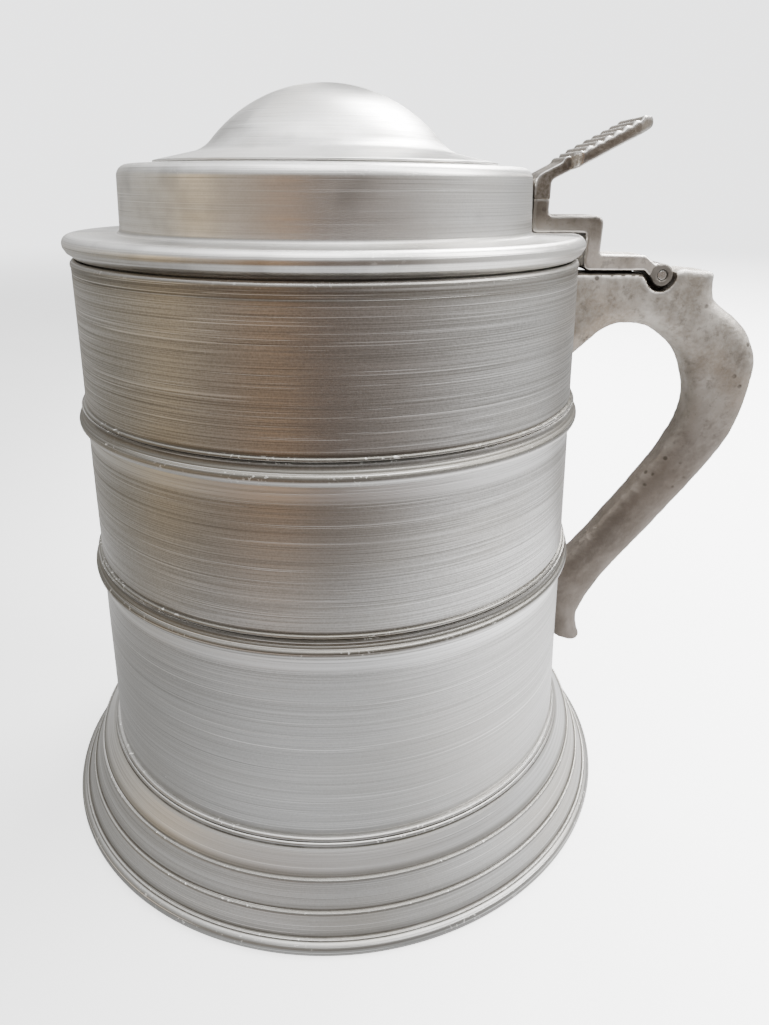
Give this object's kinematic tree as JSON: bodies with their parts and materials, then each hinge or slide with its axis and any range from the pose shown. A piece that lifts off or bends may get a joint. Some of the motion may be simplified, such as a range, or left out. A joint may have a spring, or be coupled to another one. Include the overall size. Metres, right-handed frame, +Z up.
{
  "type": "lidded tankard",
  "caption": "Large pewter tankard with a tapered banded body, stepped foot, hinged domed lid, ridged thumbpiece and a cast scroll handle.",
  "frame": {"origin": "centre of the plane that the foot stands on, on the body's axis", "axes": "+Z up along the body's axis, +X towards the handle and hinge, Y along the hinge pin"},
  "size_m": [0.2583, 0.2126, 0.2476],
  "materials": {
    "turned_pewter": "fine horizontal turning lines, satin, aged grey",
    "band_pewter": "burnished mouldings with dark lines in the grooves",
    "foot_pewter": "satin turned faces with bright worn edges",
    "lid_pewter": "bright satin with fine turning lines",
    "cast_pewter": "matte cast surface with mottled brown-grey patina and small pits",
    "pin_metal": "dull drawn wire"
  },
  "bodies": {
    "vessel": {"body_wall": "turned_pewter", "bottom_disc": "turned_pewter", "upper_band": "band_pewter", "lower_band": "band_pewter", "foot_ring": "foot_pewter", "handle": "cast_pewter"},
    "lid": {"lid_flange": "lid_pewter", "lid_drum": "lid_pewter", "lid_dome": "lid_pewter", "lid_bezel": "turned_pewter", "hinge_strap": "cast_pewter", "thumbpiece": "cast_pewter", "hinge_pin": "pin_metal"}
  },
  "joints": [
    {"name": "lid_hinge", "type": "hinge", "parent": "vessel", "child": "lid", "pos_m": [0.1115, 0, 0.1924], "axis": [0, 1, 0], "range_deg": [0, 105]}
  ]
}
